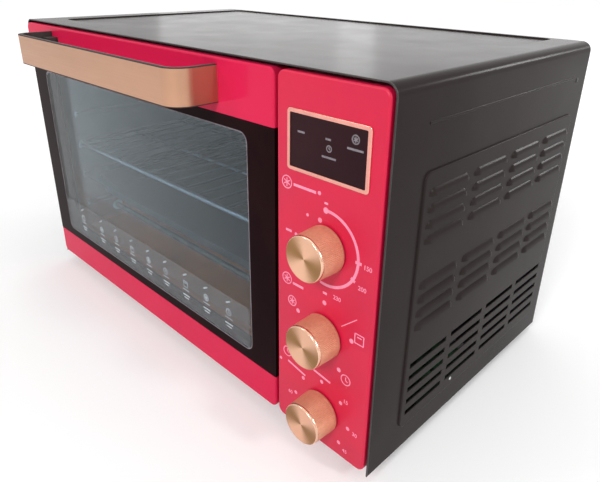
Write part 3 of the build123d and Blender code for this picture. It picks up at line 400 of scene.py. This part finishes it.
def make_door_finishes():
    """Dark plastic, glass, and what seals and stands."""
    dark = finish("dark_plastic", (0.022, 0.018, 0.016), 0.5)
    dark.mottle((0.035, 0.029, 0.026), 0.02).relief(0.00002, 0.0006)
    black = finish("black_glass", (0.022, 0.005, 0.008), 0.07)
    black.mottle((0.030, 0.008, 0.011), 0.05).gloss(0.05, 0.09, 0.08).set(Specular_IOR_Level=0.08)
    border = finish("glass_border", (0.009, 0.002, 0.003), 0.10)
    border.mottle((0.016, 0.004, 0.005), 0.07).gloss(0.07, 0.13, 0.1).set(Specular_IOR_Level=0.02)
    glass = finish("clear_glass", (0.84, 0.92, 0.96), 0.02)
    glass.mottle((0.82, 0.90, 0.95), 0.08).set(Transmission_Weight=1.0, IOR=1.2)
    silicone = finish("silicone", (0.06, 0.06, 0.062), 0.6)
    silicone.mottle((0.08, 0.08, 0.08), 0.01).relief(0.00002, 0.001)
    rubber = finish("foot_rubber", (0.018, 0.018, 0.018), 0.75)
    rubber.mottle((0.03, 0.03, 0.03), 0.006).relief(0.00005, 0.0012)


def make_inner_finishes():
    """What lies in the cavity and behind the walls, and the screws."""
    steel = finish("steel", (0.60, 0.60, 0.61), 0.3, 1.0)
    steel.mottle((0.48, 0.48, 0.50), 0.004).gloss(0.29, 0.42, 0.003)
    # The wires are darker than bare chrome, as they look reflecting the dark cavity: painted shade.
    chrome = finish("chrome_wire", (0.29, 0.31, 0.34), 0.30, 1.0)
    chrome.mottle((0.24, 0.26, 0.29), 0.03).gloss(0.285, 0.34, 0.02)
    tray = finish("tray_enamel", (0.022, 0.022, 0.025), 0.28)
    tray.mottle((0.030, 0.031, 0.036), 0.02, detail=1.0).relief(0.000004, 0.02)
    element = finish("element_steel", (0.20, 0.18, 0.165), 0.45, 1.0)
    element.mottle((0.10, 0.085, 0.08), 0.015).relief(0.00003, 0.001)
    ceramic = finish("ceramic", (0.62, 0.58, 0.51), 0.55)
    ceramic.mottle((0.52, 0.48, 0.41), 0.004).relief(0.00002, 0.0008)
    aluminium = finish("aluminium", (0.70, 0.71, 0.72), 0.4, 1.0)
    aluminium.mottle((0.60, 0.61, 0.63), 0.01, (8, 1, 1)).gloss(0.3, 0.5, 0.002, (20, 1, 1))
    circuit = finish("circuit_board", (0.010, 0.07, 0.025), 0.4)
    circuit.mottle((0.02, 0.11, 0.04), 0.002, start=0.5, end=0.52, detail=0.0)
    nylon = finish("white_nylon", (0.34, 0.33, 0.31), 0.5)
    nylon.mottle((0.28, 0.27, 0.25), 0.008).relief(0.00001, 0.001)
    moulded = finish("black_plastic", (0.020, 0.020, 0.021), 0.48)
    moulded.mottle((0.03, 0.03, 0.032), 0.015).relief(0.00002, 0.0007)


def make_print_finishes():
    """Inks of the panel, the window and the display."""
    ink = finish("pink_print", (0.95, 0.33, 0.47), 0.5)
    ink.mottle((0.90, 0.26, 0.40), 0.004).set(Specular_IOR_Level=0.3)
    pale = finish("pale_print", (0.50, 0.54, 0.56), 0.5)
    pale.mottle((0.32, 0.35, 0.37), 0.012).set(Specular_IOR_Level=0.3)
    # Ink of the display's marks, and also the grey line round the window, which is a painted highlight.
    lit = finish("display_print_and_glass_highlight", (0.24, 0.21, 0.23), 0.5)
    lit.mottle((0.15, 0.13, 0.145), 0.003).set(Specular_IOR_Level=0.3)
    tint = finish("tint_print", (0.30, 0.31, 0.32), 0.45)
    tint.mottle((0.22, 0.23, 0.24), 0.001, start=0.45, end=0.55).set(Alpha=0.22)


# Nodes that have a finish of their own, not the one of their material slot
NODE_FINISHES = {
    "display_bezel": "bezel_gold_painted_red_reflection",
    "handle_strap": "handle_gold",
    "base_plate": "base_zinc_painted_shade",
    "terminal_block": "black_plastic",
    "cavity_floor": "baked_floor",
    "crumb_tray": "baked_floor",
    "cavity_ceiling": "cavity_zinc",
    "cavity_left_wall": "cavity_zinc",
    "cavity_right_wall": "cavity_zinc",
    "cavity_back_wall": "cavity_zinc",
    "rack_ledges": "cavity_zinc",
}


def dress_nodes():
    """Each CAD node gets the finish of its own material slot, or its own where it has one."""
    for name, node in nodes.items():
        for place in node.material_slots:
            slot_name = place.material.name.split(".")[0]
            place.material = finishes[NODE_FINISHES.get(name, slot_name)].material


# Pieces made in mesh code

def make_piece(name, mesh_code, finish_names, body):
    """A finished piece, from a mesh in the making, that moves with a body."""
    mesh = bpy.data.meshes.new(name)
    bmesh.ops.recalc_face_normals(mesh_code, faces=mesh_code.faces)
    mesh_code.to_mesh(mesh)
    mesh_code.free()
    piece = bpy.data.objects.new(name, mesh)
    bpy.context.scene.collection.objects.link(piece)
    for finish_name in finish_names:
        mesh.materials.append(finishes[finish_name].material)
    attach(piece, body)
    return piece


def rounded_outline(x0, x1, z0, z1, radius, steps=8):
    """Points (x, z) round a rectangle whose corners are rounded."""
    points = []
    corners = ((x1 - radius, z1 - radius, 0), (x0 + radius, z1 - radius, 90),
               (x0 + radius, z0 + radius, 180), (x1 - radius, z0 + radius, 270))
    for x, z, start in corners:
        for i in range(steps + 1):
            turn = math.radians(start + 90 * i / steps)
            points.append((x + radius * math.cos(turn), z + radius * math.sin(turn)))
    return points


def join_rings(mesh_code, ring, next_ring, smooth=False, material=0):
    """A band of faces between two rings of as many points."""
    count = len(ring)
    for i in range(count):
        j = (i + 1) % count
        face = mesh_code.faces.new((ring[i], ring[j], next_ring[j], next_ring[i]))
        face.smooth = smooth
        face.material_index = material


def cap_ends(mesh_code, rings, first_material=0):
    """A flat face across each end of a row of rings."""
    mesh_code.faces.new(rings[0][::-1]).material_index = first_material
    mesh_code.faces.new(rings[-1])


def add_band(mesh_code, outer, inner, front, back):
    """A closed flat band between two outlines of as many points, from y = front to y = back."""
    rings = [[mesh_code.verts.new((x, y, z)) for x, z in outline]
             for outline, y in ((outer, front), (inner, front), (inner, back), (outer, back))]
    for ring, next_ring in zip(rings, rings[1:] + rings[:1]):
        join_rings(mesh_code, ring, next_ring)


def add_plate(mesh_code, outline, front, back):
    """A closed flat plate with that outline, from y = front to y = back."""
    near = [mesh_code.verts.new((x, front, z)) for x, z in outline]
    far = [mesh_code.verts.new((x, back, z)) for x, z in outline]
    mesh_code.faces.new(near)
    mesh_code.faces.new(far[::-1])
    join_rings(mesh_code, far, near)


# Door glass: a black printed border round a clear pane

WINDOW_LEFT = -0.2440
WINDOW_RIGHT = 0.1402
WINDOW_LOW = 0.0645
WINDOW_HIGH = 0.2770
WINDOW_RADIUS = 0.0085
PANE_GAP = 0.00002
GLASS_CORNER = 0.0005


def make_door_glass():
    """The border and the pane stand for the plain sheet of glass."""
    low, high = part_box("door_outer_glass")
    front, back = low[1], high[1]
    outer = rounded_outline(low[0], high[0], low[2], high[2], GLASS_CORNER)
    hole = rounded_outline(WINDOW_LEFT, WINDOW_RIGHT, WINDOW_LOW, WINDOW_HIGH, WINDOW_RADIUS)
    border = bmesh.new()
    add_band(border, outer, hole, front, back)
    border_piece = make_piece("outer_glass_border", border, ["glass_border"], "door")
    pane = bmesh.new()
    outline = rounded_outline(WINDOW_LEFT + PANE_GAP, WINDOW_RIGHT - PANE_GAP, WINDOW_LOW + PANE_GAP,
                              WINDOW_HIGH - PANE_GAP, WINDOW_RADIUS - PANE_GAP)
    add_plate(pane, outline, front, back)
    pane_piece = make_piece("outer_glass_pane", pane, ["clear_glass"], "door")
    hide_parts("door_outer_glass")
    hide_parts("door_outer_glass")


# Knobs: turned faces with painted sheen and a polished edge, and finely knurled sides

KNURLS = 84
KNURL_DEPTH = 0.00030
STEPS_PER_KNURL = 4
KNOB_BORE = 0.003
KNOB_TAPER = 0.001          # how much narrower the tip is than the base, as a radius
BASE_BEVEL = 0.0008
KNURLS_BEGIN = (0.0022, 0.0028)  # from the back: where the knurls start and are full
KNURLS_END = (0.0030, 0.0024)    # from the front: where they are still full and stop
TIP_FLARE = (0.0003, 0.0002)     # how much wider than the tip those two places are
KNOB_EDGE = 0.0006
RIM_WIDTH = 0.0006
RIM_DROP = 0.0001
DISH_DEPTH = 0.0005
HUB_RADIUS = 0.0012
KNOB_FINISHES = ["spun_gold", "knurled_gold", "polished_gold"]
SPUN, KNURLED, POLISHED = range(3)


def make_knob(node_name, body):
    """A knob in the place of its plain solid."""
    low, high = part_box(node_name)
    front, back = low[1], high[1]
    centre_x, centre_z = (low[0] + high[0]) / 2, (low[2] + high[2]) / 2
    base_radius = (high[0] - low[0]) / 2
    tip_radius = base_radius - KNOB_TAPER
    count = KNURLS * STEPS_PER_KNURL
    # Radius, y, share of the knurl's depth, and finish of the band that follows
    profile = [(KNOB_BORE, back, 0, KNURLED),
               (base_radius - BASE_BEVEL, back, 0, KNURLED),
               (base_radius, back - BASE_BEVEL, 0, KNURLED),
               (base_radius, back - KNURLS_BEGIN[0], 0, KNURLED),
               (base_radius, back - KNURLS_BEGIN[1], 1, KNURLED),
               (tip_radius + TIP_FLARE[0], front + KNURLS_END[0], 1, KNURLED),
               (tip_radius + TIP_FLARE[1], front + KNURLS_END[1], 0, POLISHED),
               (tip_radius, front + KNOB_EDGE, 0, POLISHED),
               (tip_radius - KNOB_EDGE, front, 0, SPUN),
               (tip_radius - KNOB_EDGE - RIM_WIDTH, front + RIM_DROP, 0, SPUN),
               (tip_radius * 0.6, front + DISH_DEPTH * 0.7, 0, SPUN),
               (tip_radius * 0.3, front + DISH_DEPTH, 0, SPUN),
               (HUB_RADIUS, front + DISH_DEPTH, 0, SPUN)]
    knob = bmesh.new()
    rings = []
    for radius, y, knurl, _ in profile:
        ring = []
        for i in range(count):
            groove = abs(i % STEPS_PER_KNURL - STEPS_PER_KNURL / 2) / (STEPS_PER_KNURL / 2)
            r = radius - KNURL_DEPTH * knurl * groove
            turn = 2 * math.pi * i / count
            ring.append(knob.verts.new((centre_x + r * math.cos(turn), y, centre_z + r * math.sin(turn))))
        rings.append(ring)
    for ring, next_ring, (_, _, _, material) in zip(rings, rings[1:], profile):
        join_rings(knob, ring, next_ring, material != KNURLED, material)
    cap_ends(knob, rings, KNURLED)
    piece = make_piece(node_name + "_turned", knob, KNOB_FINISHES, body)
    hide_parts(node_name)


# Small fittings on the sides

SIDE_X = 0.2800             # the flat of the case's side, and of its raised field
FIELD_X = 0.2818
PLUG_AT = (0.151, 0.302)    # y and z
PLUG_RADIUS = 0.0024
PLUG_HEIGHT = 0.0007
RIVET_AT = (-0.025, 0.0475)
RIVET_RADIUS = 0.0016
RIVET_HEIGHT = 0.0009
BUTTON_STEPS = 20
# Shares of a button's radius and height, from inside the sheet to the top
BUTTON_PROFILE = ((1.0, -0.2), (1.0, 0.35), (0.82, 0.75), (0.45, 0.96), (0.1, 1.0))


def add_button(mesh_code, x, place, radius, out):
    """A low dome on a side wall, facing along X; `out` is how far it stands proud, with its sign."""
    y, z = place
    turns = [2 * math.pi * i / BUTTON_STEPS for i in range(BUTTON_STEPS)]
    rings = []
    for share, rise in BUTTON_PROFILE:
        rings.append([mesh_code.verts.new((x + out * rise, y + radius * share * math.cos(turn),
                                           z + radius * share * math.sin(turn))) for turn in turns])
    for ring, next_ring in zip(rings, rings[1:]):
        join_rings(mesh_code, ring, next_ring, smooth=True)
    cap_ends(mesh_code, rings)


def make_side_fittings():
    """A dark plug and a bright rivet on each side wall."""
    plugs = bmesh.new()
    rivets = bmesh.new()
    for side in (-1, 1):
        add_button(plugs, side * SIDE_X, PLUG_AT, PLUG_RADIUS, side * PLUG_HEIGHT)
        add_button(rivets, side * FIELD_X, RIVET_AT, RIVET_RADIUS, side * RIVET_HEIGHT)
    make_piece("side_plugs", plugs, ["black_plastic"], "root")
    make_piece("side_rivets", rivets, ["steel"], "root")


# The folded front edge of the case: its top, its lower ends and its corners

CASE_TOP = 0.3360
CASE_LOW = 0.0140
HEM_INSET = 0.0005          # from the outside of the sheet to the middle of its thickness
HEM_RADIUS = 0.0007
CASE_CORNER = 0.0090
HEM_STEPS = 12


def make_case_hem():
    """A fine bead along the case's front edge: up one side, across the top and down the other."""
    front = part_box("outer_case")[0][1]
    side, top, bend = SIDE_X - HEM_INSET, CASE_TOP - HEM_INSET, CASE_CORNER - HEM_INSET
    path = [(side, CASE_LOW, 0.0)]
    for middle, start in ((side - bend, 0), (bend - side, 90)):
        for i in range(HEM_STEPS + 1):
            turn = math.radians(start + 90 * i / HEM_STEPS)
            path.append((middle + bend * math.cos(turn), top - bend + bend * math.sin(turn), turn))
    path.append((-side, CASE_LOW, math.pi))
    hem = bmesh.new()
    rings = []
    for x, z, turn in path:
        ring = []
        for i in range(HEM_STEPS):
            round_turn = 2 * math.pi * i / HEM_STEPS
            out = HEM_RADIUS * math.cos(round_turn)
            ring.append(hem.verts.new((x + out * math.cos(turn), front + HEM_RADIUS * math.sin(round_turn),
                                       z + out * math.sin(turn))))
        rings.append(ring)
    for ring, next_ring in zip(rings, rings[1:]):
        join_rings(hem, ring, next_ring, smooth=True)
    cap_ends(hem, rings)
    make_piece("case_hem", hem, ["hem_paint"], "root")


# Printed marks: thin flat plates on the face that carries them

INK = 0.00012
SUNK = 0.00002
INK_STEP = 0.000006         # marks that cross lie a little higher than each other
INK_STEPS = 7
DOT_STEP, RING_STEP, ARC_STEP = 20, 12, 5   # degrees between points
CAP_SHARE = 0.70            # a figure's height as a share of the font's size
BOLDER = 0.02               # how far its outline is pushed out, as a share of its height


class Marks:
    """Flat marks, in millimetres across and up, on a face at y = face."""

    def __init__(self, face):
        self.front = face - INK
        self.back = face + SUNK
        self.code = bmesh.new()
        self.count = 0

    def next_front(self):
        self.count += 1
        return self.front - INK_STEP * (self.count % INK_STEPS)

    def plate(self, points):
        add_plate(self.code, [(x * MM, z * MM) for x, z in points], self.next_front(), self.back)

    def bar(self, x0, z0, x1, z1, width):
        """A straight stroke between two points."""
        along = Vector((x1 - x0, z1 - z0)).normalized() * width / 2
        side = Vector((-along.y, along.x))
        self.plate([(x0 - side.x, z0 - side.y), (x1 - side.x, z1 - side.y),
                    (x1 + side.x, z1 + side.y), (x0 + side.x, z0 + side.y)])

    def dash(self, x0, x1, z, width):
        self.bar(x0, z, x1, z, width)

    def dot(self, x, z, radius):
        self.plate([(x + radius * math.cos(math.radians(a)), z + radius * math.sin(math.radians(a)))
                    for a in range(0, 360, DOT_STEP)])

    def ring(self, x, z, radius, width):
        turns = [math.radians(a) for a in range(0, 360, RING_STEP)]
        outer, inner = ([((x + r * math.cos(a)) * MM, (z + r * math.sin(a)) * MM) for a in turns]
                        for r in (radius + width / 2, radius - width / 2))
        add_band(self.code, outer, inner, self.next_front(), self.back)

    def arc(self, x, z, radius, width, start, end):
        """A stroke along a circle, between two angles in degrees."""
        steps = int(abs(end - start) / ARC_STEP)
        turns = [math.radians(start + (end - start) * i / steps) for i in range(steps + 1)]
        outer, inner = ([(x + r * math.cos(a), z + r * math.sin(a)) for a in turns]
                        for r in (radius + width / 2, radius - width / 2))
        self.plate(outer + inner[::-1])

    def number(self, words, x, z, height):
        """A plain number, centred on a point."""
        curve = bpy.data.curves.new("number", "FONT")
        curve.body = words
        curve.align_x = "CENTER"
        curve.size = height / CAP_SHARE * MM
        curve.extrude = (self.back - self.front) / 2
        curve.offset = height * MM * BOLDER
        carrier = bpy.data.objects.new("number", curve)
        mesh = bpy.data.meshes.new_from_object(carrier)
        stand = Matrix.Rotation(math.pi / 2, 4, "X")
        place = Matrix.Translation((x * MM, (self.front + self.back) / 2, (z - height / 2) * MM))
        mesh.transform(place @ stand)
        self.code.from_mesh(mesh)
        bmesh.ops.remove_doubles(self.code, verts=self.code.verts, dist=1e-7)
        bpy.data.objects.remove(carrier)
        bpy.data.meshes.remove(mesh)

    def to_piece(self, name, finish_name, body):
        return make_piece(name, self.code, [finish_name], body)


# Sizes and places of the marks, in millimetres
STROKE = 0.9
NUMBER_HEIGHT = 3.6
KNOB_X = 229.4
TEMPERATURE_Z, FUNCTION_Z, TIMER_Z = 207.6, 130.6, 53.6
DIAL_RADIUS = 30.5


def draw_clock(marks, x, z, radius):
    marks.ring(x, z, radius, STROKE)
    marks.bar(x, z, x, z + radius * 0.6, STROKE)
    marks.bar(x, z, x + radius * 0.45, z - radius * 0.3, STROKE)


def draw_wheel(marks, x, z, radius):
    marks.ring(x, z, radius, STROKE)
    for turn in (30, 90, 150):
        dx = radius * 0.7 * math.cos(math.radians(turn))
        dz = radius * 0.7 * math.sin(math.radians(turn))
        marks.bar(x - dx, z - dz, x + dx, z + dz, STROKE)


def draw_box(marks, x, z, half_size):
    for x0, z0, x1, z1 in ((-1, -1, 1, -1), (-1, 1, 1, 1), (-1, -1, -1, 1), (1, -1, 1, 1)):
        marks.bar(x + x0 * half_size, z + z0 * half_size, x + x1 * half_size, z + z1 * half_size, STROKE)
    marks.dash(x - half_size * 0.5, x + half_size * 0.5, z + half_size * 0.4, STROKE)


def dial_point(z, turn, radius=DIAL_RADIUS):
    """A place round the knob at height z, at an angle in degrees."""
    return KNOB_X + radius * math.cos(math.radians(turn)), z + radius * math.sin(math.radians(turn))


def mark_panel():
    """The dials' scales, numbers and pictograms; word lines are plain bars."""
    marks = Marks(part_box("control_panel")[0][1])
    # temperature
    draw_wheel(marks, 187.3, 249.2, 5.0)
    marks.dash(194.5, 217.7, 249.0, 2.2)
    marks.dot(221.0, 249.6, 1.6)
    marks.dash(226.2, 229.6, 243.6, 1.6)
    marks.arc(KNOB_X, TEMPERATURE_Z, DIAL_RADIUS, 2.4, 93, -100)
    marks.dot(*dial_point(TEMPERATURE_Z, 93), 2.4)
    marks.bar(*dial_point(TEMPERATURE_Z, 0, 28.0), *dial_point(TEMPERATURE_Z, 0, 33.5), 2.4)
    marks.bar(*dial_point(TEMPERATURE_Z, -30, 28.5), *dial_point(TEMPERATURE_Z, -30, 33.0), 2.2)
    marks.number("150", 268.5, 206.5, NUMBER_HEIGHT)
    marks.number("200", 264.8, 188.2, NUMBER_HEIGHT)
    marks.number("230", 241.8, 170.2, NUMBER_HEIGHT)
    marks.dash(227.5, 231.5, 169.4, 2.0)
    marks.dot(*dial_point(TEMPERATURE_Z, 133, 29.0), 1.3)
    marks.dot(222.3, 228.6, 2.0)
    marks.dot(197.7, 208.4, 1.6)
    marks.dash(186.4, 192.8, 209.4, 2.0)
    # function
    draw_wheel(marks, 187.8, 165.5, 5.0)
    marks.dash(194.5, 206.4, 163.4, 2.2)
    for turn in (90, 18, -54, -126, 162):
        marks.dot(*dial_point(FUNCTION_Z, turn, 30.0), 2.0)
    draw_wheel(marks, 194.0, 146.4, 4.4)
    draw_box(marks, 265.2, 144.6, 4.2)
    draw_clock(marks, 254.4, 100.4, 4.6)
    marks.bar(247.5, 148.0, 262.0, 161.0, 0.7)
    # timer
    for turn in range(0, 360, 45):
        marks.dot(*dial_point(TIMER_Z, turn, 30.0), 1.8)
    draw_clock(marks, 188.6, 92.4, 4.6)
    marks.dot(180.2, 80.8, 1.5)
    marks.bar(189.4, 83.0, 210.5, 78.6, 1.9)
    marks.bar(220.0, 90.6, 238.8, 88.0, 1.9)
    marks.number("15", 255.6, 79.0, NUMBER_HEIGHT)
    marks.number("30", 266.6, 52.0, NUMBER_HEIGHT)
    marks.number("45", 257.4, 27.6, NUMBER_HEIGHT)
    marks.number("60", 192.6, 50.6, NUMBER_HEIGHT)
    marks.to_piece("panel_marks", "pink_print", "root")


EDGE_HIGHLIGHT_HALF = 0.45         # half the width of the painted highlight round the window
GUIDE_COLUMNS = (-199, -149, -112.5, -75, -39, -4, 34, 70, 106)
GUIDE_TOP, GUIDE_MIDDLE, GUIDE_LOW = 103.5, 92.2, 77.2
# The signs that take turns along the guide, with their half sizes
GUIDE_SIGNS = ((draw_box, 3.4), (draw_wheel, 3.6), (draw_clock, 3.6))
# The word bars under each sign: half length, height and stroke
GUIDE_BARS = ((5.5, GUIDE_MIDDLE - 6.8, 1.1), (6.0, GUIDE_LOW + 1.6, 1.6), (4.2, GUIDE_LOW - 1.8, 1.4))
GROUND_INSET = 2            # the tinted ground of the guide, from the window's left edge
GROUND_RIGHT = 137.5
GROUND_LOW = 66.5
GROUND_HIGH = 110.5
# Middle, height and length of the display's word bars
DISPLAY_BARS = ((202, 291, 7), (228, 291, 5), (252, 289, 14), (229, 278, 13))
DISPLAY_STROKE = 1.5


def mark_window():
    """A plain guide printed along the foot of the window, and a grey line round the window, which is a
    painted highlight on the edge of the glass border.
    """
    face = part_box("door_outer_glass")[0][1]
    marks = Marks(face)
    left, right = WINDOW_LEFT / MM, WINDOW_RIGHT / MM
    low, high = WINDOW_LOW / MM, WINDOW_HIGH / MM
    # A grey ring round the window: a painted highlight on the edge of the glass border.
    outer, inner = ([(x * MM, z * MM) for x, z in
                     rounded_outline(left - w, right + w, low - w, high + w, WINDOW_RADIUS / MM + w)]
                    for w in (EDGE_HIGHLIGHT_HALF, -EDGE_HIGHLIGHT_HALF))
    add_band(marks.code, outer, inner, marks.front, marks.back)
    marks.to_piece("window_edge_highlight", "display_print_and_glass_highlight", "door")
    marks = Marks(face)
    for i, x in enumerate(GUIDE_COLUMNS):
        marks.bar(x - 3.5, GUIDE_TOP - 1.6, x + 3.0, GUIDE_TOP + 2.0, 1.7)
        draw_sign, size = GUIDE_SIGNS[i % len(GUIDE_SIGNS)]
        draw_sign(marks, x, GUIDE_MIDDLE, size)
        for half, z, stroke in GUIDE_BARS:
            marks.dash(x - half, x + half, z, stroke)
    marks.to_piece("window_guide", "pale_print", "door")
    band = Marks(face)
    band.front = face - INK / 3
    band.back = face + SUNK / 2
    band.plate([(left + GROUND_INSET, GROUND_LOW), (GROUND_RIGHT, GROUND_LOW),
                (GROUND_RIGHT, GROUND_HIGH), (left + GROUND_INSET, GROUND_HIGH)])
    band.to_piece("window_guide_ground", "tint_print", "door")


def mark_display():
    """Dim word bars and two pictograms."""
    marks = Marks(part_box("display_window")[0][1])
    for x, z, length in DISPLAY_BARS:
        marks.dash(x - length / 2, x + length / 2, z, DISPLAY_STROKE)
    draw_wheel(marks, 252, 296, 3.0)
    draw_clock(marks, 229, 284.5, 2.2)
    marks.to_piece("display_marks", "display_print_and_glass_highlight", "root")


make_camera()
make_studio()
make_sheet_finishes()
make_front_finishes()
make_door_finishes()
make_inner_finishes()
make_print_finishes()
dress_nodes()
make_door_glass()
for control in ("temperature", "function", "timer"):
    make_knob(control + "_knob", control + "_control")
make_side_fittings()
make_case_hem()
mark_panel()
mark_window()
mark_display()
